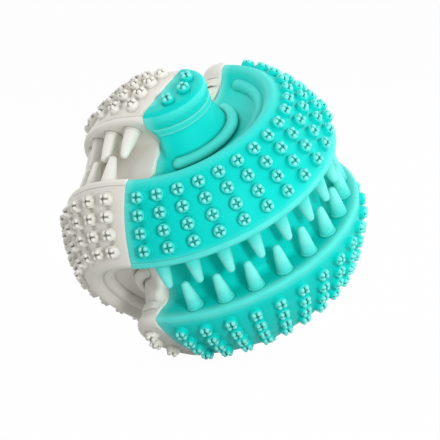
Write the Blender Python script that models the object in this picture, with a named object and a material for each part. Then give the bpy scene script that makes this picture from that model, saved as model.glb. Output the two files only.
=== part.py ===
"""Dental chew ball: two identical rubber halves, teal and off-white, bonded at a flat seam.

Each half is half of a body turned about an axis that lies in the seam plane: an end cap, a ribbed groove,
a knobbed band, a toothed groove, and then the same again. The halves are joined with their turning axes
60 degrees apart, so that every band and groove runs on across the seam into the other half.
"""
import math

import bmesh
import bpy
from mathutils import Matrix, Vector

# Driving sizes, in metres and degrees
MM = 0.001
BALL_RADIUS = 38.0 * MM         # centre to the smooth surface of the bands
GROOVE_DEPTH = 10.9 * MM        # band surface to groove floor
WALL = 5.0 * MM                 # rubber left under the groove floors, around the hollow core
BOND_GAP = 0.3 * MM             # glue line between the two halves
RIDGE_PERIOD = 60.0             # one band and one groove, seen from the turning axis
GROOVE_ANGLE = 24.0             # width of every groove
EDGE_RADIUS = 1.3 * MM          # rounded edge where a band or cap turns into a groove wall
FLOOR_FILLET = 3.0 * MM         # hollow corner between a groove wall and its floor

KNOB_RADIUS = 1.9 * MM
KNOB_TOP_RADIUS = 1.65 * MM
KNOB_HEIGHT = 2.0 * MM
KNOB_ROW_GAP = 0.65 * MM        # between neighbouring rows of knobs, on the band's surface
KNOB_COLUMN_PITCH = 10.8        # around the turning axis
KNOB_EDGE_CLEAR = 3.0 * MM      # least distance from a knob's side to a groove wall
SEAM_CLEAR = 2.4 * MM           # least distance from a knob or tooth to the seam
CAP_KNOB_OFFSET = 6.9 * MM      # distance of the end cap's knobs from the turning axis
CAP_KNOB_STEP = 45.0
CAP_KNOB_COUNT = 3

TOOTH_LENGTH = 7.7 * MM
TOOTH_ROOT_RADIUS = 2.3 * MM
TOOTH_TIP_RADIUS = 0.95 * MM
TOOTH_TIP_BEVEL = 0.5 * MM
TOOTH_DEPTH = 5.0 * MM          # band surface to the tooth's centre line
TOOTH_PITCH = 14.5              # around the turning axis, on each wall

WALL_BEAD_RADIUS = 1.3 * MM     # half-round rib on the band side of a ribbed groove
WALL_BEAD_DEPTH = 4.8 * MM
POST_BEAD_RADIUS = 1.0 * MM     # half-round rib round the cap's post
POST_BEAD_DEPTH = 5.4 * MM
FLOOR_BEAD_RADIUS = 1.2 * MM    # half-round rib in the middle of the groove floor
BEAD_END_ANGLE = 14.0           # the wall and post beads stop at least this far from the seam
FLOOR_BEAD_END_ANGLE = 22.0     # and the floor bead this far
BEAD_END_SIZE = 0.5             # the beads taper to this share of their radius at the ends

# How finely round shapes are divided
ARC_STEPS = 2
CAP_STEPS = 2
FLOOR_STEPS = 2
CORE_STEPS = 8
KNOB_SIDES = 6
TOOTH_SIDES = 6
BEAD_SIDES = 6
SHARP_ANGLE = 40.0              # edges sharper than this aren't shaded smooth

# Values that follow from the sizes above
RIGHT_ANGLE = 90.0
HALF_TURN = 2.0 * RIGHT_ANGLE
FULL_TURN = 2.0 * HALF_TURN
FLOOR_RADIUS = BALL_RADIUS - GROOVE_DEPTH
CORE_RADIUS = FLOOR_RADIUS - WALL
CAP_EDGE = (RIDGE_PERIOD - GROOVE_ANGLE) / 2.0
BAND_INNER_EDGE = CAP_EDGE + GROOVE_ANGLE
BAND_OUTER_EDGE = BAND_INNER_EDGE + RIDGE_PERIOD - GROOVE_ANGLE
BAND_CENTRE = (BAND_INNER_EDGE + BAND_OUTER_EDGE) / 2.0
EQUATOR = RIGHT_ANGLE
SEAM_TWIST = RIDGE_PERIOD / 2.0
KNOB_ROW_PITCH = 2.0 * KNOB_RADIUS + KNOB_ROW_GAP
ROOT_SINK = 1.0 * MM            # how far a knob or tooth starts inside the rubber that it grows from
MERGE_DISTANCE = 0.001 * MM

# Linear colours of the two rubbers
TEAL = (0.012, 0.620, 0.530, 1.0)
OFF_WHITE = (0.640, 0.610, 0.570, 1.0)
RUBBER_ROUGHNESS = 0.45


def polar(radius, angle):
    """A profile point (along the turning axis, away from it), by its angle from the axis in degrees."""
    turn = math.radians(angle)
    return Vector((radius * math.cos(turn), radius * math.sin(turn)))


def arc(centre, radius, start, sweep, steps):
    """Profile points on an arc, both ends included."""
    return [centre + polar(radius, start + sweep * i / steps) for i in range(steps + 1)]


def edge_inset():
    """Angle from a groove wall to the place where its rounded edge meets the ball's surface."""
    return math.degrees(math.asin(EDGE_RADIUS / (BALL_RADIUS - EDGE_RADIUS)))


def groove_side(angle, side):
    """Profile points from the ball's surface down a wall to the floor; the groove lies on that side of it."""
    inset = edge_inset()
    reach = math.degrees(math.asin(FLOOR_FILLET / (FLOOR_RADIUS + FLOOR_FILLET)))
    edge_centre = polar(BALL_RADIUS - EDGE_RADIUS, angle - side * inset)
    fillet_centre = polar(FLOOR_RADIUS + FLOOR_FILLET, angle + side * reach)
    edge = arc(edge_centre, EDGE_RADIUS, angle - side * inset, side * (RIGHT_ANGLE + inset), ARC_STEPS)
    fillet_sweep = -side * (RIGHT_ANGLE - reach)
    fillet = arc(fillet_centre, FLOOR_FILLET, angle - side * RIGHT_ANGLE, fillet_sweep, ARC_STEPS)
    return edge + fillet


def divided(start, end, steps):
    """The angles that divide a stretch of the profile into equal steps, both ends left out."""
    return [start + (end - start) * i / steps for i in range(1, steps)]


def seam_angle(radius, height, angle):
    """Least turn from the seam for a round thing of this radius, at a height and angle from the axis."""
    out = polar(height, angle).y
    return math.degrees(math.asin((radius + SEAM_CLEAR) / out))


def spread(pitch, least, offset):
    """Turns on a pitch about the middle of the half turn, as many as stay the least angle from the seam."""
    count = int((EQUATOR - least - offset) / pitch)
    first = 0 if offset > 0.0 else 1
    right = [EQUATOR + offset + pitch * i for i in range(first, count + 1)]
    middle = [] if offset > 0.0 else [EQUATOR]
    return [HALF_TURN - t for t in reversed(right)] + middle + right


def knob_rows():
    """Angles from the turning axis of the rows of knobs on a band."""
    band_arc = math.radians(BAND_OUTER_EDGE - BAND_INNER_EDGE) * BALL_RADIUS
    room = band_arc - 2.0 * (KNOB_RADIUS + KNOB_EDGE_CLEAR)
    rows = int(room / KNOB_ROW_PITCH) + 1
    step = math.degrees(KNOB_ROW_PITCH / BALL_RADIUS)
    return [BAND_CENTRE + step * (i - (rows - 1) / 2.0) for i in range(rows)]


def knob_columns():
    """Turns about the axis of the columns of knobs on a band."""
    least = seam_angle(KNOB_RADIUS, BALL_RADIUS, knob_rows()[0])
    return spread(KNOB_COLUMN_PITCH, least, KNOB_COLUMN_PITCH / 2.0)


def between(values):
    """The middles of neighbouring values."""
    return [(a + b) / 2.0 for a, b in zip(values, values[1:])]


def turn_stations():
    """Turns at which the turned body has a ring of points, so that each knob stands on one flat facet."""
    return [0.0] + between([0.0] + knob_columns() + [HALF_TURN]) + [HALF_TURN]


def turned_profile():
    """The outer outline from one pole to the other, then the hollow core's outline back again."""
    inset = edge_inset()
    quarter = [polar(BALL_RADIUS, 0.0)]
    quarter += [polar(BALL_RADIUS, a) for a in divided(0.0, CAP_EDGE - inset, CAP_STEPS)]
    quarter += groove_side(CAP_EDGE, 1)
    quarter += [polar(FLOOR_RADIUS, a) for a in divided(CAP_EDGE, BAND_INNER_EDGE, FLOOR_STEPS)]
    quarter += reversed(groove_side(BAND_INNER_EDGE, -1))
    quarter += [polar(BALL_RADIUS, a) for a in between(knob_rows())]
    quarter += groove_side(BAND_OUTER_EDGE, 1)
    mirrored = [Vector((-p.x, p.y)) for p in reversed(quarter)]
    outer = quarter + [polar(FLOOR_RADIUS, EQUATOR)] + mirrored
    core = arc(Vector((0.0, 0.0)), CORE_RADIUS, HALF_TURN, -HALF_TURN, CORE_STEPS)
    return outer + core


def local_point(profile_point, turn):
    """A profile point turned about local Z; a turn of 0 or 180 degrees lies in the seam plane."""
    angle = math.radians(turn)
    out = profile_point.y
    return Vector((out * math.sin(angle), -out * math.cos(angle), profile_point.x))


def mesh_object(name, bm):
    """Closes a bmesh into a new object in the scene."""
    bmesh.ops.recalc_face_normals(bm, faces=bm.faces)
    mesh = bpy.data.meshes.new(name)
    bm.to_mesh(mesh)
    bm.free()
    obj = bpy.data.objects.new(name, mesh)
    bpy.context.scene.collection.objects.link(obj)
    return obj


def turned_body():
    """The smooth half body: rings of the profile about the turning axis, closed with a flat seam face."""
    bm = bmesh.new()
    profile = turned_profile()
    rings = [[bm.verts.new(local_point(p, turn)) for p in profile] for turn in turn_stations()]
    for ring, after in zip(rings, rings[1:]):
        for i in range(len(profile)):
            j = (i + 1) % len(profile)
            bm.faces.new((ring[i], ring[j], after[j], after[i]))
    bmesh.ops.remove_doubles(bm, verts=bm.verts, dist=MERGE_DISTANCE)
    rim = [e for e in bm.edges if len(e.link_faces) == 1]
    bmesh.ops.triangle_fill(bm, use_beauty=True, use_dissolve=True, edges=rim)
    return mesh_object("turned_body", bm)


def aimed(origin, direction):
    """A matrix that puts local Z along a direction, at an origin."""
    return Matrix.Translation(origin) @ direction.to_track_quat("Z", "Y").to_matrix().to_4x4()


def add_cone(bm, root, direction, rings, sides):
    """Adds a closed turned peg: rings are (height along the direction, radius), from the buried end up."""
    place = aimed(root, direction)
    loops = []
    for height, radius in rings:
        turns = [math.radians(FULL_TURN * (i + 0.5) / sides) for i in range(sides)]
        corners = [Vector((radius * math.cos(t), radius * math.sin(t), height)) for t in turns]
        loops.append([bm.verts.new(place @ c) for c in corners])
    for low, high in zip(loops, loops[1:]):
        for i in range(sides):
            j = (i + 1) % sides
            bm.faces.new((low[i], low[j], high[j], high[i]))
    bm.faces.new(list(reversed(loops[0])))
    bm.faces.new(loops[-1])


def knob_places():
    """Every knob of one half as (angle from the turning axis, turn about it)."""
    places = [(angle, turn) for angle in knob_rows() for turn in knob_columns()]
    cap_angle = math.degrees(math.asin(CAP_KNOB_OFFSET / BALL_RADIUS))
    first = EQUATOR - CAP_KNOB_STEP * (CAP_KNOB_COUNT - 1) / 2.0
    places += [(cap_angle, first + CAP_KNOB_STEP * i) for i in range(CAP_KNOB_COUNT)]
    return places + [(HALF_TURN - angle, turn) for angle, turn in places]


def knobs():
    """All the knobs of one half, each rooted a little below the surface."""
    bm = bmesh.new()
    rings = [(-ROOT_SINK, KNOB_RADIUS), (KNOB_HEIGHT, KNOB_TOP_RADIUS)]
    for angle, turn in knob_places():
        root = local_point(polar(BALL_RADIUS, angle), turn)
        add_cone(bm, root, root.normalized(), rings, KNOB_SIDES)
    return mesh_object("knobs", bm)


def tooth_rows():
    """The two rows of groove teeth as (wall angle, direction across the groove, turns)."""
    height = BALL_RADIUS - TOOTH_DEPTH
    least = seam_angle(TOOTH_ROOT_RADIUS, height, BAND_OUTER_EDGE)
    staggered = spread(TOOTH_PITCH, least, TOOTH_PITCH / 2.0)
    centred = spread(TOOTH_PITCH, least, 0.0)
    return [(BAND_OUTER_EDGE, 1.0, staggered), (HALF_TURN - BAND_OUTER_EDGE, -1.0, centred)]


def teeth():
    """Blunt cones that stand square on both walls of the toothed groove, one row between the other."""
    bm = bmesh.new()
    rings = [(-ROOT_SINK, TOOTH_ROOT_RADIUS), (TOOTH_LENGTH - TOOTH_TIP_BEVEL, TOOTH_TIP_RADIUS),
             (TOOTH_LENGTH, TOOTH_TIP_RADIUS - TOOTH_TIP_BEVEL)]
    height = BALL_RADIUS - TOOTH_DEPTH
    for angle, way, turns in tooth_rows():
        for turn in turns:
            root = local_point(polar(height, angle), turn)
            across = local_point(polar(1.0, angle + way * RIGHT_ANGLE), turn)
            add_cone(bm, root, across, rings, TOOTH_SIDES)
    return mesh_object("teeth", bm)


def add_bead(bm, centre, radius, wall_angle, end_turn):
    """Adds a round rib along an arc about the turning axis, centred on the wall or floor that carries it."""
    turns = [t for t in turn_stations() if end_turn <= t <= HALF_TURN - end_turn]
    rings = []
    for turn in turns:
        size = radius * (BEAD_END_SIZE if turn in (turns[0], turns[-1]) else 1.0)
        angles = [wall_angle + FULL_TURN * (k + 0.5) / BEAD_SIDES for k in range(BEAD_SIDES)]
        rings.append([bm.verts.new(local_point(centre + polar(size, a), turn)) for a in angles])
    for low, high in zip(rings, rings[1:]):
        for k in range(BEAD_SIDES):
            j = (k + 1) % BEAD_SIDES
            bm.faces.new((low[k], low[j], high[j], high[k]))
    bm.faces.new(rings[0])
    bm.faces.new(rings[-1])


def beads():
    """The three half-round ribs of each ribbed groove: on the band's wall, on the post and on the floor."""
    bm = bmesh.new()
    middle = (CAP_EDGE + BAND_INNER_EDGE) / 2.0
    ribs = [(BALL_RADIUS - WALL_BEAD_DEPTH, BAND_INNER_EDGE, WALL_BEAD_RADIUS, 0.0, BEAD_END_ANGLE),
            (BALL_RADIUS - POST_BEAD_DEPTH, CAP_EDGE, POST_BEAD_RADIUS, 0.0, BEAD_END_ANGLE),
            (FLOOR_RADIUS, middle, FLOOR_BEAD_RADIUS, RIGHT_ANGLE, FLOOR_BEAD_END_ANGLE)]
    for height, angle, radius, lie, end_turn in ribs:
        for pole_angle in (angle, HALF_TURN - angle):
            add_bead(bm, polar(height, pole_angle), radius, pole_angle + lie, end_turn)
    return mesh_object("beads", bm)


def united(body, additions):
    """The mesh of a body with each addition joined on by a Boolean union; the helpers are removed."""
    for extra in additions:
        extra.hide_render = True
        extra.display_type = "WIRE"
        join = body.modifiers.new("join_" + extra.name, "BOOLEAN")
        join.operation = "UNION"
        join.solver = "EXACT"
        join.object = extra
    evaluated = body.evaluated_get(bpy.context.evaluated_depsgraph_get())
    mesh = bpy.data.meshes.new_from_object(evaluated)
    for helper in [body] + additions:
        bpy.data.objects.remove(helper)
    mesh.name = "chew_half"
    mesh.shade_smooth()
    mesh.set_sharp_from_angle(angle=math.radians(SHARP_ANGLE))
    return mesh


def rubber(name, colour):
    """A soft satin moulding rubber."""
    material = bpy.data.materials.new(name)
    material.use_nodes = True
    shader = material.node_tree.nodes["Principled BSDF"]
    shader.inputs["Base Color"].default_value = colour
    shader.inputs["Roughness"].default_value = RUBBER_ROUGHNESS
    shader.inputs["Metallic"].default_value = 0.0
    material.diffuse_color = colour
    return material


def half_object(name, mesh, material, side, parent):
    """One half in place: its turning axis leans in the seam plane, and the white half is turned half round."""
    obj = bpy.data.objects.new(name, mesh)
    bpy.context.scene.collection.objects.link(obj)
    obj.parent = parent
    obj.location = (side * BOND_GAP / 2.0, 0.0, 0.0)
    half_round = 0.0 if side > 0.0 else HALF_TURN
    obj.rotation_euler = (math.radians(SEAM_TWIST), 0.0, math.radians(half_round))
    slot = obj.material_slots[0]
    slot.link = "OBJECT"
    slot.material = material
    return obj


def build():
    """Clears the scene and makes the ball about the origin, with its seam plane on X = 0."""
    for old in list(bpy.data.objects):
        bpy.data.objects.remove(old)
    mesh = united(turned_body(), [knobs(), teeth(), beads()])
    mesh.materials.clear()
    mesh.materials.append(None)
    ball = bpy.data.objects.new("chew_ball", None)
    bpy.context.scene.collection.objects.link(ball)
    half_object("teal_half", mesh, rubber("teal_rubber", TEAL), 1.0, ball)
    half_object("white_half", mesh, rubber("white_rubber", OFF_WHITE), -1.0, ball)


build()
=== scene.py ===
"""The looks of the dental chew ball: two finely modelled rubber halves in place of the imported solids.

Each half is modelled about its own turning axis (local Z), with its seam face on local X = 0. A turn of 0 or
180 degrees about the axis lies in the seam. Angles are in degrees and lengths in metres.
"""
import math

import bmesh
import bpy
from mathutils import Matrix, Vector


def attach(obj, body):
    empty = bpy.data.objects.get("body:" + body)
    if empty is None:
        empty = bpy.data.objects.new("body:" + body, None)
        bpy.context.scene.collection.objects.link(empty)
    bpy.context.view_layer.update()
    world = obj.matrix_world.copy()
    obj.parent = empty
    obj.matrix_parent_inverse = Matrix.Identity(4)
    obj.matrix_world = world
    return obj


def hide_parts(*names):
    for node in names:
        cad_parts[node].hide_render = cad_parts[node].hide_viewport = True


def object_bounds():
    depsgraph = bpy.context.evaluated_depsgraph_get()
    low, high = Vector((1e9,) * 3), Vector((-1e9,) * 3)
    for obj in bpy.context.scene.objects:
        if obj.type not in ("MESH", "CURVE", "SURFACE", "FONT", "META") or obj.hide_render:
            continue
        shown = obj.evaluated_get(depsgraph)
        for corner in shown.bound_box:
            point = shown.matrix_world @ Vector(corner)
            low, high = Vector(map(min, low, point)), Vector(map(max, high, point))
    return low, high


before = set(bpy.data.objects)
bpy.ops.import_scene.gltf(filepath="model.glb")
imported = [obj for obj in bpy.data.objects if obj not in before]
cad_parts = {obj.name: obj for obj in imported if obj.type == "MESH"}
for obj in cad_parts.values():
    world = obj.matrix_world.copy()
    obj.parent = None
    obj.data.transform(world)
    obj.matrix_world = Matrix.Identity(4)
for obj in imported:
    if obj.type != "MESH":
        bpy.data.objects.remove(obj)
cad_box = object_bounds()

MM = 0.001
RIGHT_ANGLE = 90.0
HALF_TURN = 180.0
FULL_TURN = 360.0

# The turned body
BALL_RADIUS = 38.0 * MM
FLOOR_RADIUS = 27.1 * MM
CORE_RADIUS = 22.1 * MM
CAP_EDGE = 18.0
BAND_INNER_EDGE = 42.0
BAND_OUTER_EDGE = 78.0
BAND_CENTRE = 60.0
EDGE_RADIUS = 1.0 * MM
LIP_RADIUS = 1.9 * MM           # the edge of a band that looks into an end groove is rounder
HEAD_HEIGHT = 37.4 * MM         # a post's flat head lies this far along the turning axis
HEAD_EDGE_RADIUS = 2.3 * MM
POCKET_LOW = (26.6 * MM, 33.9)  # an end groove's lowest line: from the ball's centre and from the axis
POCKET_FOOT = 31.2 * MM         # where that floor meets the band's wall, from the ball's centre
POCKET_SOFT = 3.2 * MM          # how far the corner there is softened
TOOTH_WALL = 7.55 * MM          # the toothed groove's flat walls lie this far from its middle
TOOTH_FLOOR = 27.8 * MM         # its floor, from the turning axis
TOOTH_FILLET = 2.3 * MM
SEAM_TWIST = 30.0
SEAM_GAP = 0.04 * MM
SEAM_ROUND = 0.22 * MM
SEAM_CUTS = (0.15, 0.45, 1.0)   # the steps of the seam's rounded edge, as shares of that radius

# The fine moulding line just inside the outer edge of a band
CREASE_INSET = 1.85 * MM        # from the groove wall, along the band's surface
CREASE_WIDTH = 0.34 * MM
CREASE_DEPTH = 0.16 * MM
CREASE_FADE = (18.0, 60.0)      # the line is at its deepest near the seam and fades between these turns
CREASE_LEAST = 0.35             # what is left of its depth past the fade

# The side of an end post: an upright head, a collar on a fine ledge, a fine undercut and a neck that flares
# straight to the floor. Each point is a distance along the groove's wall and how far it stands proud.
POST_HEAD = (35.4 * MM, 0.05 * MM)
COLLAR_LEDGE = ((34.40 * MM, 0.10 * MM), (34.28 * MM, 0.00 * MM), (34.16 * MM, 0.38 * MM),
                (34.02 * MM, 0.56 * MM))
COLLAR_FOOT = ((32.42 * MM, 0.92 * MM), (32.28 * MM, 0.86 * MM), (32.22 * MM, 0.36 * MM),
               (32.08 * MM, 0.44 * MM))
COLLAR = (POST_HEAD, *COLLAR_LEDGE, *COLLAR_FOOT)
NECK_FOOT_ANGLE = 27.0          # where the neck meets the floor, from the turning axis
# The side at the seam, where the collar has run out: a slight waist and a round foot
SEAM_HEAD = (35.4 * MM, 0.35 * MM)
SEAM_WAIST = -0.60 * MM
SEAM_FILLET = 3.6 * MM
POST_FADE = (1.0, 15.0)         # the collar and the flare grow between these turns from the seam

# Knobs with round lobes on top
KNOB_ROWS = 4
KNOB_ROW_STEP = 6.72
KNOB_COLUMNS = 16
KNOB_COLUMN_PITCH = 10.8
CAP_KNOB_ANGLE = 10.4
CAP_KNOB_TURNS = (45.0, 90.0, 135.0)
KNOB_FOOT_RADIUS = 1.98 * MM
KNOB_RADIUS = 1.80 * MM
KNOB_SHOULDER_RADIUS = 1.70 * MM
KNOB_SHOULDER = 1.25 * MM
KNOB_HEIGHT = 2.1 * MM
# A knob's flared foot, each point a radius and a height, and its rounded shoulder, each a radius and a depth
KNOB_FLARE = ((KNOB_FOOT_RADIUS, -0.06 * MM), (1.88 * MM, 0.02 * MM), (1.83 * MM, 0.10 * MM),
              (KNOB_RADIUS, 0.24 * MM))
KNOB_ROUNDING = ((KNOB_SHOULDER_RADIUS, 0.20 * MM), (1.65 * MM, 0.06 * MM), (1.55 * MM, 0.0))
LOBE_COUNT = 4
LOBE_FIRST_TURN = 45.0
LOBE_OFFSET = 0.97 * MM
LOBE_RADIUS = 0.66 * MM
LOBE_TIP_RADIUS = 0.58 * MM
LOBE_DOME = 0.50 * MM
KNOB_SIDES = 20
LOBE_SIDES = 10
LOBE_DOME_STEPS = 4

# Teeth in the middle groove
TOOTH_HEIGHT = 33.9 * MM        # distance of a tooth's root from the ball's centre
TOOTH_ROOT_ANGLE = 77.4         # the root's angle from the turning axis
TOOTH_LEAN = 4.5                # how far a tooth leans out from square to its wall
TOOTH_LENGTH = 7.95 * MM
TOOTH_FOOT_RADIUS = 2.28 * MM
TOOTH_FOOT_HEIGHT = 0.45 * MM
TOOTH_FOOT_ROUND = 0.12 * MM    # the foot's upper edge is cut back over this height
TOOTH_FOOT_INSET = 0.05 * MM    # and by this much
TOOTH_FOOT_SLOPE = 0.02 * MM    # how much the foot's top rises towards the tooth
TOOTH_ROOT_RADIUS = 2.06 * MM
TOOTH_TIP_RADIUS = 1.10 * MM
TOOTH_SWELL = 0.06 * MM         # how far a tooth's side bulges halfway up
TOOTH_PITCH = 14.5
TOOTH_ROWS = ((TOOTH_ROOT_ANGLE, 1.0, 12), (HALF_TURN - TOOTH_ROOT_ANGLE, -1.0, 11))
TOOTH_SIDES = 24
TOOTH_STEPS = 8
TOOTH_DOME_STEPS = 5

# Round beads in the end grooves: distance from the centre, angle from the axis, radius, first turn
WALL_BEAD = (32.6 * MM, 42.9, 1.85 * MM, 15.5)
FLOOR_BEAD = (26.7 * MM, 30.7, 1.65 * MM, 28.0)
BEAD_SIDES = 20
BEAD_TURNS = 60
BEAD_END_STEPS = 6

# How finely the turned body is divided
TURN_STEPS = 90
ARC_STEPS = 8
CAP_STEPS = 12
WALL_STEPS = 10
POST_STEPS = 3                  # between two points of a post's head and collar
NECK_STEPS = 14
FLOOR_STEPS = 6
BAND_STEPS = 28
CORE_STEPS = 12
SHARP_ANGLE = 35.0
MERGE_DISTANCE = 0.001 * MM
CUT_DISTANCE = 0.0001 * MM      # points nearer to a cut than this count as on it
BURIED = 0.6 * MM               # how far a knob or lobe starts inside what it grows from
TOOTH_BURIED = 1.3 * MM

# Rubber: each noise is a scale per metre and a detail
CLOUD_NOISE = (70.0, 3.0)
CLOUD_STOPS = (0.3, 0.7)        # the noise at which the clouded and the plain colour are pure
GLOSS_NOISE = (260.0, 4.0)
ROUGHNESS = (0.48, 0.58)
GRAIN_NOISE = (1600.0, 3.0)
GRAIN_STRENGTH = 0.12
GRAIN_DEPTH = 0.05 * MM
REFRACTIVE_INDEX = 1.45
SUBSURFACE_SHARE = 0.08
SUBSURFACE_DEPTH = 1.0 * MM
OCCLUSION_SAMPLES = 8
PAINTED_SHADE_REACH = 1.3 * MM        # painted shade: how near other rubber has to be for crevices to be darkened
PAINTED_SHADE_OPEN = (0.25, 0.85)     # painted shade, from the darkest place to one with plain colour, by the open share round
PAINTED_HIGHLIGHT_REACH = 3.2 * MM           # painted highlight: rubber thinner than this, and its edges, are painted paler
PAINTED_HIGHLIGHT_SOLID = (0.42, 0.95)       # painted highlight, from the palest place to one with plain colour, by the solid share behind
# Knob sides stay free of the painted highlight; this comes and goes between these distances from the ball's
# centre
KNOB_SIDE_COMES = (37.92 * MM, 38.10 * MM)
KNOB_SIDE_GOES = (39.12 * MM, 39.60 * MM)
UNIT_RANGE = (0.0, 1.0)
WHITE = (1.0, 1.0, 1.0)
# Each rubber's colours include a painted shade for crevices and a painted pale highlight for slender parts
# and edges
TEAL = {"plain": (0.002, 0.640, 0.580), "clouded": (0.002, 0.600, 0.540), "painted_shade": (0.001, 0.240, 0.200),
        "painted_highlight": (0.200, 0.800, 0.740), "gleam": (0.12, 1.00, 0.95)}
OFF_WHITE = {"plain": (0.780, 0.755, 0.690), "clouded": (0.745, 0.720, 0.655),
             "painted_shade": (0.160, 0.142, 0.112), "painted_highlight": (0.810, 0.790, 0.735), "gleam": WHITE}

# Camera and light
PHOTO_SIZE = 440.0
BALL_PIXEL = (213.4, 208.5)     # the ball's centre in the photograph
CAMERA_DISTANCE = 1.053
CAMERA_LENS = 331.0             # millimetres, as the sensor's width is
SENSOR_WIDTH = 36.0
CAMERA_CLIP = (0.05, 20.0)
CAMERA_RIGHT = (0.8039, 0.5913, -0.0636)
CAMERA_BACK = (0.5948, -0.7987, 0.0912)
LAMP_DISTANCE = 0.8
# Each lamp's azimuth from the camera towards the right of the picture, its elevation, how brightly it lights
# a white surface that faces it, and the length of its sides
LAMPS = {"key": (20.0, 3.0, 0.57, 0.15), "fill": (300.0, 20.0, 0.04, 0.50), "side": (85.0, 30.0, 0.46, 0.80),
         "back": (145.0, 38.0, 0.42, 0.90), "top": (245.0, 45.0, 0.36, 0.60)}
DOME_LEVEL = 0.46
FLOOR_REACH = 6.0               # from the ball to the floor's edges
FLOOR_COLOUR = (0.58, 0.58, 0.58)
FLOOR_WHITE_SHARE = 0.98        # how much of the floor's look is plain white; the rest keeps the shadow


def polar(radius, angle):
    """A profile point (along the turning axis, away from it), by its angle from the axis."""
    turn = math.radians(angle)
    return Vector((radius * math.cos(turn), radius * math.sin(turn)))


def arc(centre, radius, start, sweep, steps):
    """Profile points on an arc, both ends included."""
    return [centre + polar(radius, start + sweep * i / steps) for i in range(steps + 1)]


def smooth_step(low, high, value):
    """0 below low, 1 above high, and an even rise between them."""
    share = min(max((value - low) / (high - low), 0.0), 1.0)
    return share * share * (3.0 - 2.0 * share)


def from_seam(turn):
    """How far a turn lies from the nearer side of the seam."""
    return min(turn, HALF_TURN - turn)


def inset_angle(radius):
    """Angle from a groove wall to the place where its rounded edge meets the ball's surface."""
    return math.degrees(math.asin(radius / (BALL_RADIUS - radius)))


def rounded_edge(angle, side, radius):
    """Profile points round the edge of a band or cap, from the ball's surface to the groove wall."""
    inset = inset_angle(radius)
    centre = polar(BALL_RADIUS - radius, angle - side * inset)
    return arc(centre, radius, angle - side * inset, side * (RIGHT_ANGLE + inset), ARC_STEPS)


def soft_corner(before, corner, after, reach, steps):
    """Profile points round a hollow corner between two straight runs, from one run to the other."""
    start = corner + (before - corner).normalized() * reach
    end = corner + (after - corner).normalized() * reach
    shares = [i / steps for i in range(steps + 1)]
    return [start.lerp(corner, share).lerp(corner.lerp(end, share), share) for share in shares]


def straight(start, end, steps):
    """Profile points that divide a straight line, both ends left out."""
    return [start.lerp(end, i / steps) for i in range(1, steps)]


def post_grown(turn):
    """How much of a post's collar there is at a turn: 0 at the seam, 1 where it is whole."""
    return smooth_step(*POST_FADE, from_seam(turn))


def collar_proud(height):
    """How far a whole post's side stands proud at a distance along the groove's wall."""
    foot = polar(FLOOR_RADIUS, NECK_FOOT_ANGLE - CAP_EDGE)
    side = (*COLLAR, (foot.x, foot.y))
    for (upper, start), (lower, end) in zip(side, side[1:]):
        if height >= lower:
            return start + (end - start) * (upper - height) / (upper - lower)
    return foot.y


def seam_proud(height):
    """The same at the seam: down to the waist, round the foot and along the floor."""
    centre_proud = SEAM_WAIST + SEAM_FILLET
    centre_height = math.sqrt((FLOOR_RADIUS + SEAM_FILLET) ** 2 - centre_proud ** 2)
    if height > centre_height:
        top, proud = SEAM_HEAD
        return proud + (SEAM_WAIST - proud) * (top - height) / (top - centre_height)
    floor_height = centre_height * FLOOR_RADIUS / (FLOOR_RADIUS + SEAM_FILLET)
    if height > floor_height:
        return centre_proud - math.sqrt(SEAM_FILLET ** 2 - (centre_height - height) ** 2)
    return math.sqrt(max(FLOOR_RADIUS ** 2 - height ** 2, 0.0))


def post_wall(turn):
    """Profile points down the side of an end post to the floor; its collar runs out towards the seam."""
    corners = [point[0] for point in COLLAR]
    heights = []
    for upper, lower in zip(corners, corners[1:]):
        heights += [upper + (lower - upper) * i / POST_STEPS for i in range(POST_STEPS)]
    neck = corners[-1]
    foot = polar(FLOOR_RADIUS, NECK_FOOT_ANGLE - CAP_EDGE).x
    falls = [math.sin(math.radians(RIGHT_ANGLE * i / NECK_STEPS)) for i in range(NECK_STEPS + 1)]
    heights += [neck + (foot - neck) * fall for fall in falls]
    along = polar(1.0, CAP_EDGE)
    outward = polar(1.0, CAP_EDGE + RIGHT_ANGLE)
    grown = post_grown(turn)
    prouds = [seam_proud(height) * (1.0 - grown) + collar_proud(height) * grown for height in heights]
    return [along * height + outward * proud for height, proud in zip(heights, prouds)]


def band_top(turn):
    """Profile points across a knobbed band, with the moulding line inside its outer edge."""
    to_angle = math.degrees(1.0 / BALL_RADIUS)
    half = CREASE_WIDTH / 2.0
    depth = CREASE_DEPTH * (1.0 - (1.0 - CREASE_LEAST) * smooth_step(*CREASE_FADE, from_seam(turn)))
    line = [(CREASE_INSET + half, BALL_RADIUS), (CREASE_INSET, BALL_RADIUS - depth),
            (CREASE_INSET - half, BALL_RADIUS)]
    far = [polar(radius, BAND_OUTER_EDGE - to_angle * along) for along, radius in line]
    start = BAND_INNER_EDGE + inset_angle(LIP_RADIUS)
    end = BAND_OUTER_EDGE - to_angle * (CREASE_INSET + half)
    middle = [polar(BALL_RADIUS, start + (end - start) * i / BAND_STEPS) for i in range(1, BAND_STEPS)]
    return middle + far


def post_head():
    """Profile points over a post's flat head and round its edge, down to the line of the post's side."""
    wall = polar(1.0, CAP_EDGE)
    height = HEAD_HEIGHT - HEAD_EDGE_RADIUS
    proud = POST_HEAD[1]
    away = (height * wall.y + proud - HEAD_EDGE_RADIUS) / wall.x
    flat = [Vector((HEAD_HEIGHT, away * i / CAP_STEPS)) for i in range(CAP_STEPS)]
    return flat + arc(Vector((height, away)), HEAD_EDGE_RADIUS, 0.0, CAP_EDGE + RIGHT_ANGLE, ARC_STEPS)


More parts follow.
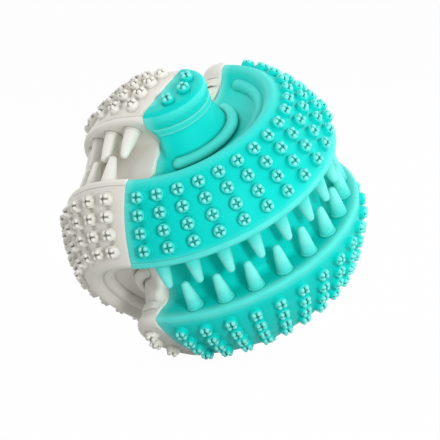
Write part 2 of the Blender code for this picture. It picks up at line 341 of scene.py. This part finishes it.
def pocket_floor(wall_top):
    """Profile points along an end groove's floor and up the band's wall, both ends left out."""
    neck_foot = polar(FLOOR_RADIUS, NECK_FOOT_ANGLE)
    low = polar(*POCKET_LOW)
    corner = soft_corner(low, polar(POCKET_FOOT, BAND_INNER_EDGE), wall_top, POCKET_SOFT, ARC_STEPS)
    return (straight(neck_foot, low, FLOOR_STEPS) + [low] + straight(low, corner[0], FLOOR_STEPS) + corner
            + straight(corner[-1], wall_top, WALL_STEPS))


def tooth_trough(wall_top):
    """Profile points down a toothed groove's flat wall and along its floor to the middle, not the start."""
    centre = Vector((TOOTH_WALL - TOOTH_FILLET, TOOTH_FLOOR + TOOTH_FILLET))
    foot = arc(centre, TOOTH_FILLET, 0.0, -RIGHT_ANGLE, ARC_STEPS)
    middle = Vector((0.0, TOOTH_FLOOR))
    wall = straight(wall_top, foot[0], WALL_STEPS)
    return wall + foot + straight(foot[-1], middle, FLOOR_STEPS) + [middle]


def outer_quarter(turn):
    """Profile points from the pole of the turning axis to the middle of the toothed groove."""
    inner_edge = list(reversed(rounded_edge(BAND_INNER_EDGE, -1, LIP_RADIUS)))
    outer_edge = rounded_edge(BAND_OUTER_EDGE, 1, EDGE_RADIUS)
    return (post_head() + post_wall(turn) + pocket_floor(inner_edge[0]) + inner_edge + band_top(turn)
            + outer_edge + tooth_trough(outer_edge[-1]))


def profile(turn):
    """The whole outline at one turn: the outside from pole to pole, then the hollow core back again."""
    quarter = outer_quarter(turn)
    mirrored = [Vector((-p.x, p.y)) for p in reversed(quarter[:-1])]
    core = arc(Vector((0.0, 0.0)), CORE_RADIUS, HALF_TURN, -HALF_TURN, CORE_STEPS)
    return quarter + mirrored + core


def local_point(point, turn):
    """A profile point turned about local Z."""
    angle = math.radians(turn)
    return Vector((point.y * math.sin(angle), -point.y * math.cos(angle), point.x))


def new_object(name, bm):
    """Puts a bmesh into a new object, with its faces pointing out."""
    bmesh.ops.recalc_face_normals(bm, faces=bm.faces)
    mesh = bpy.data.meshes.new(name)
    bm.to_mesh(mesh)
    bm.free()
    obj = bpy.data.objects.new(name, mesh)
    bpy.context.scene.collection.objects.link(obj)
    return obj


def round_seam_edge(bm):
    """Rounds the outer edge of the seam face, so that the bonded halves meet in a fine groove."""
    for share in SEAM_CUTS:
        geometry = bm.verts[:] + bm.edges[:] + bm.faces[:]
        bmesh.ops.bisect_plane(bm, geom=geometry, dist=CUT_DISTANCE,
                               plane_co=(SEAM_ROUND * share, 0.0, 0.0), plane_no=(1.0, 0.0, 0.0))
    bm.normal_update()
    skin = (CORE_RADIUS + FLOOR_RADIUS) / 2.0
    moves = []
    for vert in bm.verts:
        depth = SEAM_ROUND - vert.co.x
        across = Vector((0.0, vert.normal.y, vert.normal.z))
        if depth > 0.0 and vert.co.length > skin and across.length > 0.0:
            inward = SEAM_ROUND - math.sqrt(max(SEAM_ROUND ** 2 - depth ** 2, 0.0))
            moves.append((vert, across.normalized() * -inward))
    for vert, move in moves:
        vert.co += move


def turned_body():
    """The smooth half body with its grooves, collars and moulding lines."""
    bm = bmesh.new()
    turns = [HALF_TURN * i / TURN_STEPS for i in range(TURN_STEPS + 1)]
    rings = [[bm.verts.new(local_point(p, turn)) for p in profile(turn)] for turn in turns]
    for ring, after in zip(rings, rings[1:]):
        for i in range(len(ring)):
            j = (i + 1) % len(ring)
            bm.faces.new((ring[i], ring[j], after[j], after[i]))
    bmesh.ops.remove_doubles(bm, verts=bm.verts, dist=MERGE_DISTANCE)
    rim = [e for e in bm.edges if len(e.link_faces) == 1]
    bmesh.ops.triangle_fill(bm, use_beauty=True, use_dissolve=False, edges=rim)
    bmesh.ops.recalc_face_normals(bm, faces=bm.faces)
    round_seam_edge(bm)
    return new_object("turned_body", bm)


def add_turned(bm, place, rings, sides):
    """Adds a closed turned shape: rings are (radius, height), and a last radius of 0 makes a round tip."""
    loops = []
    for radius, height in rings:
        if radius == 0.0:
            loops.append([bm.verts.new(place @ Vector((0.0, 0.0, height)))])
            continue
        angles = [math.radians(FULL_TURN * i / sides) for i in range(sides)]
        corners = [Vector((radius * math.cos(a), radius * math.sin(a), height)) for a in angles]
        loops.append([bm.verts.new(place @ c) for c in corners])
    for low, high in zip(loops, loops[1:]):
        for i in range(sides):
            j = (i + 1) % sides
            if len(high) == 1:
                bm.faces.new((low[i], low[j], high[0]))
            else:
                bm.faces.new((low[i], low[j], high[j], high[i]))
    bm.faces.new(list(reversed(loops[0])))


def dome(radius, height, top, steps):
    """Rings of a rounded tip from a radius at a height up to the top, the pole included."""
    angles = [math.radians(RIGHT_ANGLE * i / steps) for i in range(1, steps)]
    rings = [(radius * math.cos(a), height + (top - height) * math.sin(a)) for a in angles]
    return rings + [(0.0, top)]


def united(body, additions):
    """The mesh of a body with each addition joined on; the helper objects are removed."""
    for extra in additions:
        join = body.modifiers.new("join_" + extra.name, "BOOLEAN")
        join.operation = "UNION"
        join.solver = "MANIFOLD"
        join.object = extra
    evaluated = body.evaluated_get(bpy.context.evaluated_depsgraph_get())
    mesh = bpy.data.meshes.new_from_object(evaluated)
    for helper in [body] + additions:
        bpy.data.objects.remove(helper)
    return mesh


def knob_mesh():
    """One knob, standing on Z = 0: a flared foot, a slightly tapered side and round lobes on top."""
    foot = [(KNOB_FOOT_RADIUS, -BURIED), *KNOB_FLARE]
    shoulder = [(radius, KNOB_SHOULDER - depth) for radius, depth in KNOB_ROUNDING]
    bm = bmesh.new()
    add_turned(bm, Matrix.Identity(4), foot + shoulder + [(0.0, KNOB_SHOULDER)], KNOB_SIDES)
    peg = new_object("knob_peg", bm)
    bm = bmesh.new()
    waist = KNOB_HEIGHT - LOBE_DOME
    lobe = [(LOBE_RADIUS, KNOB_SHOULDER - BURIED), (LOBE_RADIUS, KNOB_SHOULDER), (LOBE_TIP_RADIUS, waist)]
    lobe += dome(LOBE_TIP_RADIUS, waist, KNOB_HEIGHT, LOBE_DOME_STEPS)
    for i in range(LOBE_COUNT):
        turn = Matrix.Rotation(math.radians(LOBE_FIRST_TURN + FULL_TURN / LOBE_COUNT * i), 4, "Z")
        add_turned(bm, turn @ Matrix.Translation((LOBE_OFFSET, 0.0, 0.0)), lobe, LOBE_SIDES)
    return united(peg, [new_object("knob_lobes", bm)])


def knob_places():
    """Every knob of one half as (angle from the turning axis, turn about it)."""
    rows = [BAND_CENTRE + KNOB_ROW_STEP * (i - (KNOB_ROWS - 1) / 2.0) for i in range(KNOB_ROWS)]
    columns = [RIGHT_ANGLE + KNOB_COLUMN_PITCH * (i - (KNOB_COLUMNS - 1) / 2.0) for i in range(KNOB_COLUMNS)]
    places = [(row, turn) for row in rows for turn in columns]
    places += [(CAP_KNOB_ANGLE, turn) for turn in CAP_KNOB_TURNS]
    return places + [(HALF_TURN - angle, turn) for angle, turn in places]


def surface_frame(radius, angle, turn):
    """A matrix at a point of the ball, with Z pointing out and X along the profile towards the equator."""
    out = local_point(polar(1.0, angle), turn)
    along = local_point(polar(1.0, angle + RIGHT_ANGLE), turn)
    place = Matrix((along, out.cross(along), out)).transposed().to_4x4()
    place.translation = out * radius
    return place


def knobs():
    """All the knobs of one half, as copies of one knob."""
    bm = bmesh.new()
    knob = knob_mesh()
    for angle, turn in knob_places():
        copy = knob.copy()
        copy.transform(surface_frame(BALL_RADIUS, angle, turn))
        bm.from_mesh(copy)
        bpy.data.meshes.remove(copy)
    return new_object("knobs", bm)


def tooth_rings():
    """The rings of one tooth: a stepped foot, a slightly swollen cone and a round tip."""
    tip = TOOTH_LENGTH - TOOTH_TIP_RADIUS
    foot = [(TOOTH_FOOT_RADIUS, -TOOTH_BURIED), (TOOTH_FOOT_RADIUS, TOOTH_FOOT_HEIGHT - TOOTH_FOOT_ROUND),
            (TOOTH_FOOT_RADIUS - TOOTH_FOOT_INSET, TOOTH_FOOT_HEIGHT),
            (TOOTH_ROOT_RADIUS, TOOTH_FOOT_HEIGHT + TOOTH_FOOT_SLOPE)]
    side = []
    for share in [i / TOOTH_STEPS for i in range(1, TOOTH_STEPS + 1)]:
        straight_side = TOOTH_ROOT_RADIUS + (TOOTH_TIP_RADIUS - TOOTH_ROOT_RADIUS) * share
        height = TOOTH_FOOT_HEIGHT + (tip - TOOTH_FOOT_HEIGHT) * share
        side.append((straight_side + TOOTH_SWELL * math.sin(math.pi * share), height))
    return foot + side + dome(TOOTH_TIP_RADIUS, tip, TOOTH_LENGTH, TOOTH_DOME_STEPS)


def teeth():
    """Blunt cones on both walls of the toothed groove, one row between the other."""
    bm = bmesh.new()
    lean = math.radians(TOOTH_LEAN)
    rings = tooth_rings()
    for angle, way, count in TOOTH_ROWS:
        for i in range(count):
            turn = RIGHT_ANGLE + TOOTH_PITCH * (i - (count - 1) / 2.0)
            root = local_point(polar(TOOTH_HEIGHT, angle), turn)
            across = local_point(Vector((-way * math.cos(lean), math.sin(lean))), turn)
            place = Matrix.Translation(root) @ across.to_track_quat("Z", "Y").to_matrix().to_4x4()
            add_turned(bm, place, rings, TOOTH_SIDES)
    return new_object("teeth", bm)


def add_bead(bm, height, angle, radius, first_turn):
    """Adds a round rib along an arc about the turning axis, with round ends."""
    centre = polar(height, angle)
    end_turn = math.degrees(radius / centre.y)
    stations = [(first_turn - end_turn * math.cos(math.radians(RIGHT_ANGLE * i / BEAD_END_STEPS)),
                 radius * math.sin(math.radians(RIGHT_ANGLE * i / BEAD_END_STEPS)))
                for i in range(1, BEAD_END_STEPS)]
    span = HALF_TURN - 2.0 * first_turn
    middle = [(first_turn + span * i / BEAD_TURNS, radius) for i in range(BEAD_TURNS + 1)]
    ends = [(HALF_TURN - turn, size) for turn, size in reversed(stations)]
    loops = []
    for turn, size in stations + middle + ends:
        around = [centre + polar(size, FULL_TURN * k / BEAD_SIDES) for k in range(BEAD_SIDES)]
        loops.append([bm.verts.new(local_point(p, turn)) for p in around])
    for low, high in zip(loops, loops[1:]):
        for k in range(BEAD_SIDES):
            j = (k + 1) % BEAD_SIDES
            bm.faces.new((low[k], low[j], high[j], high[k]))
    for loop in (loops[0], loops[-1]):
        bm.faces.new(loop)


def beads():
    """The round ribs of the end grooves, on the band's wall and on the floor."""
    bm = bmesh.new()
    for height, angle, radius, first_turn in (WALL_BEAD, FLOOR_BEAD):
        for pole_angle in (angle, HALF_TURN - angle):
            add_bead(bm, height, pole_angle, radius, first_turn)
    return new_object("beads", bm)


def half_mesh():
    """The mesh that both halves share."""
    mesh = united(turned_body(), [knobs(), teeth(), beads()])
    mesh.name = "chew_half"
    mesh.shade_smooth()
    mesh.set_sharp_from_angle(angle=math.radians(SHARP_ANGLE))
    return mesh


def noise(tree, place, scale, detail):
    """A noise value over the object."""
    node = tree.nodes.new("ShaderNodeTexNoise")
    node.inputs["Scale"].default_value = scale
    node.inputs["Detail"].default_value = detail
    tree.links.new(place, node.inputs["Vector"])
    return node.outputs["Fac"]


def mapped(tree, value, source, target):
    """A value carried evenly from one range to another, and held at the ends."""
    node = tree.nodes.new("ShaderNodeMapRange")
    node.inputs["From Min"].default_value = source[0]
    node.inputs["From Max"].default_value = source[1]
    node.inputs["To Min"].default_value = target[0]
    node.inputs["To Max"].default_value = target[1]
    tree.links.new(value, node.inputs["Value"])
    return node.outputs["Result"]


def ramp(tree, value, stops, colours):
    """A run from one colour to another over a value, between two stops."""
    node = tree.nodes.new("ShaderNodeValToRGB")
    for element, stop, colour in zip(node.color_ramp.elements, stops, colours):
        element.position = stop
        element.color = (*colour, 1.0)
    tree.links.new(value, node.inputs["Fac"])
    return node.outputs["Color"]


def greater(tree, first, second):
    """The greater of two values."""
    node = tree.nodes.new("ShaderNodeMath")
    node.operation = "MAXIMUM"
    tree.links.new(first, node.inputs[0])
    tree.links.new(second, node.inputs[1])
    return node.outputs["Value"]


def blended(tree, share, colour, other):
    """One fixed colour where the share is 0, and the other where it is 1."""
    node = tree.nodes.new("ShaderNodeMix")
    node.data_type = "RGBA"
    node.inputs["A"].default_value = (*colour, 1.0)
    tree.links.new(share, node.inputs["Factor"])
    tree.links.new(other, node.inputs["B"])
    return node.outputs["Result"]


def occlusion(tree, reach, inside):
    """The open share of what lies round a place within a reach, or the solid share behind it."""
    node = tree.nodes.new("ShaderNodeAmbientOcclusion")
    node.samples = OCCLUSION_SAMPLES
    node.only_local = True
    node.inside = inside
    node.inputs["Distance"].default_value = reach
    return node.outputs["AO"]


def knob_sides(tree, place):
    """A value of 1 at the height of the knobs' sides, kept free of the painted highlight, and of 0 below and
    above.
    """
    radius = tree.nodes.new("ShaderNodeVectorMath")
    radius.operation = "LENGTH"
    tree.links.new(place, radius.inputs[0])
    comes = mapped(tree, radius.outputs["Value"], KNOB_SIDE_COMES, UNIT_RANGE)
    goes = mapped(tree, radius.outputs["Value"], KNOB_SIDE_GOES, UNIT_RANGE)
    left = tree.nodes.new("ShaderNodeMath")
    left.operation = "SUBTRACT"
    tree.links.new(comes, left.inputs[0])
    tree.links.new(goes, left.inputs[1])
    return left.outputs["Value"]


def rubber_colour(tree, place, colours):
    """Faintly clouded, with a painted highlight on slender parts and edges and painted shade in crevices."""
    cloud = ramp(tree, noise(tree, place, *CLOUD_NOISE), CLOUD_STOPS, (colours["clouded"], colours["plain"]))
    # Painted highlight: paler where little solid rubber lies behind, as on slender parts and edges
    solid = mapped(tree, occlusion(tree, PAINTED_HIGHLIGHT_REACH, True), PAINTED_HIGHLIGHT_SOLID, UNIT_RANGE)
    body = blended(tree, greater(tree, solid, knob_sides(tree, place)), colours["painted_highlight"], cloud)
    # Painted shade: darker where other rubber lies near, as in crevices and round the feet of knobs
    unshaded_share = mapped(tree, occlusion(tree, PAINTED_SHADE_REACH, False), PAINTED_SHADE_OPEN, UNIT_RANGE)
    return blended(tree, unshaded_share, colours["painted_shade"], body)


def grain(tree, place):
    """The normal of a surface with a fine moulded grain."""
    node = tree.nodes.new("ShaderNodeBump")
    node.inputs["Strength"].default_value = GRAIN_STRENGTH
    node.inputs["Distance"].default_value = GRAIN_DEPTH
    tree.links.new(noise(tree, place, *GRAIN_NOISE), node.inputs["Height"])
    return node.outputs["Normal"]


def rubber(name, colours):
    """Satin moulding rubber with an uneven gloss."""
    material = bpy.data.materials.new(name)
    material.use_nodes = True
    tree = material.node_tree
    place = tree.nodes.new("ShaderNodeTexCoord").outputs["Object"]
    shader = tree.nodes["Principled BSDF"]
    gloss = mapped(tree, noise(tree, place, *GLOSS_NOISE), UNIT_RANGE, ROUGHNESS)
    tree.links.new(rubber_colour(tree, place, colours), shader.inputs["Base Color"])
    tree.links.new(gloss, shader.inputs["Roughness"])
    tree.links.new(grain(tree, place), shader.inputs["Normal"])
    shader.inputs["IOR"].default_value = REFRACTIVE_INDEX
    shader.inputs["Specular Tint"].default_value = (*colours["gleam"], 1.0)
    shader.inputs["Subsurface Weight"].default_value = SUBSURFACE_SHARE
    shader.inputs["Subsurface Radius"].default_value = (1.0, 1.0, 1.0)
    shader.inputs["Subsurface Scale"].default_value = SUBSURFACE_DEPTH
    return material


def half(name, mesh, material, side, node, slot):
    """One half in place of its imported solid; the white half is turned half round about Z."""
    obj = bpy.data.objects.new(name, mesh.copy())
    bpy.context.scene.collection.objects.link(obj)
    obj.data.materials.clear()
    obj.data.materials.append(material)
    half_round = 0.0 if side > 0.0 else HALF_TURN
    obj.data.transform(Matrix.Translation((side * SEAM_GAP / 2.0, 0.0, 0.0))
                       @ Matrix.Rotation(math.radians(half_round), 4, "Z")
                       @ Matrix.Rotation(math.radians(SEAM_TWIST), 4, "X"))
    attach(obj, "root")
    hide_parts(node)


def camera():
    """The camera of the photograph, found from the places of the knobs in it."""
    right = Vector(CAMERA_RIGHT).normalized()
    back = Vector(CAMERA_BACK).normalized()
    up = back.cross(right).normalized()
    right = up.cross(back)
    data = bpy.data.cameras.new("camera")
    data.lens = CAMERA_LENS
    data.sensor_width = SENSOR_WIDTH
    data.shift_x = (PHOTO_SIZE / 2.0 - BALL_PIXEL[0]) / PHOTO_SIZE
    data.shift_y = (BALL_PIXEL[1] - PHOTO_SIZE / 2.0) / PHOTO_SIZE
    data.clip_start, data.clip_end = CAMERA_CLIP
    obj = bpy.data.objects.new("camera", data)
    bpy.context.scene.collection.objects.link(obj)
    place = Matrix((right, up, back)).transposed().to_4x4()
    place.translation = back * CAMERA_DISTANCE
    obj.matrix_world = place
    bpy.context.scene.camera = obj
    return right, up, back


def soft_box(name, azimuth, elevation, level, size, axes):
    """A square studio lamp that looks at the ball."""
    right, up, back = axes
    side = right * math.sin(math.radians(azimuth)) + back * math.cos(math.radians(azimuth))
    direction = side * math.cos(math.radians(elevation)) + up * math.sin(math.radians(elevation))
    data = bpy.data.lights.new(name, "AREA")
    data.shape = "SQUARE"
    data.size = size
    data.energy = level * (math.pi * LAMP_DISTANCE) ** 2
    obj = bpy.data.objects.new(name, data)
    bpy.context.scene.collection.objects.link(obj)
    obj.location = direction * LAMP_DISTANCE
    obj.rotation_euler = direction.to_track_quat("Z", "Y").to_euler()


def background_rays(tree):
    """A value of 1 for the rays that see the background: from the camera, or by gloss or through glass."""
    path = tree.nodes.new("ShaderNodeLightPath")
    total = path.outputs["Is Camera Ray"]
    for name in ("Is Glossy Ray", "Is Transmission Ray"):
        total = greater(tree, total, path.outputs[name])
    return total


def mixed_shaders(tree, share, first, second):
    """The first shader where the share is 0, and the second where it is 1."""
    node = tree.nodes.new("ShaderNodeMixShader")
    tree.links.new(share, node.inputs["Fac"])
    tree.links.new(first, node.inputs[1])
    tree.links.new(second, node.inputs[2])
    return node.outputs["Shader"]


def studio_world(strength):
    """An even dome of light, white to the camera."""
    world = bpy.data.worlds.new("studio")
    bpy.context.scene.world = world
    world.use_nodes = True
    tree = world.node_tree
    dome_light = tree.nodes["Background"]
    dome_light.inputs["Color"].default_value = (*WHITE, 1.0)
    dome_light.inputs["Strength"].default_value = strength
    backdrop = tree.nodes.new("ShaderNodeBackground")
    backdrop.inputs["Color"].default_value = (*WHITE, 1.0)
    backdrop.inputs["Strength"].default_value = 1.0
    seen = mixed_shaders(tree, background_rays(tree), dome_light.outputs["Background"],
                         backdrop.outputs["Background"])
    tree.links.new(seen, tree.nodes["World Output"].inputs["Surface"])


def studio_floor(level):
    """A plain white floor that keeps a faint shadow."""
    bm = bmesh.new()
    bmesh.ops.create_grid(bm, x_segments=1, y_segments=1, size=FLOOR_REACH)
    floor = new_object("floor", bm)
    floor.location.z = level
    material = bpy.data.materials.new("floor_white")
    material.use_nodes = True
    tree = material.node_tree
    tree.nodes.remove(tree.nodes["Principled BSDF"])
    matte = tree.nodes.new("ShaderNodeBsdfDiffuse")
    matte.inputs["Color"].default_value = (*FLOOR_COLOUR, 1.0)
    plain = tree.nodes.new("ShaderNodeEmission")
    plain.inputs["Strength"].default_value = 1.0
    share = mapped(tree, background_rays(tree), UNIT_RANGE, (0.0, FLOOR_WHITE_SHARE))
    seen = mixed_shaders(tree, share, matte.outputs["BSDF"], plain.outputs["Emission"])
    tree.links.new(seen, tree.nodes["Material Output"].inputs["Surface"])
    floor.data.materials.append(material)


def build():
    """The whole scene around the frame."""
    mesh = half_mesh()
    half("teal_half_rubber", mesh, rubber("teal_rubber", TEAL), 1.0, "teal_half", "teal_rubber")
    half("white_half_rubber", mesh, rubber("white_rubber", OFF_WHITE), -1.0, "white_half", "white_rubber")
    bpy.data.meshes.remove(mesh)
    axes = camera()
    for name, (azimuth, elevation, level, size) in LAMPS.items():
        soft_box(name, azimuth, elevation, level, size, axes)
    studio_world(DOME_LEVEL)
    studio_floor(cad_box[0].z)
    bpy.context.scene.view_settings.view_transform = "Standard"


build()
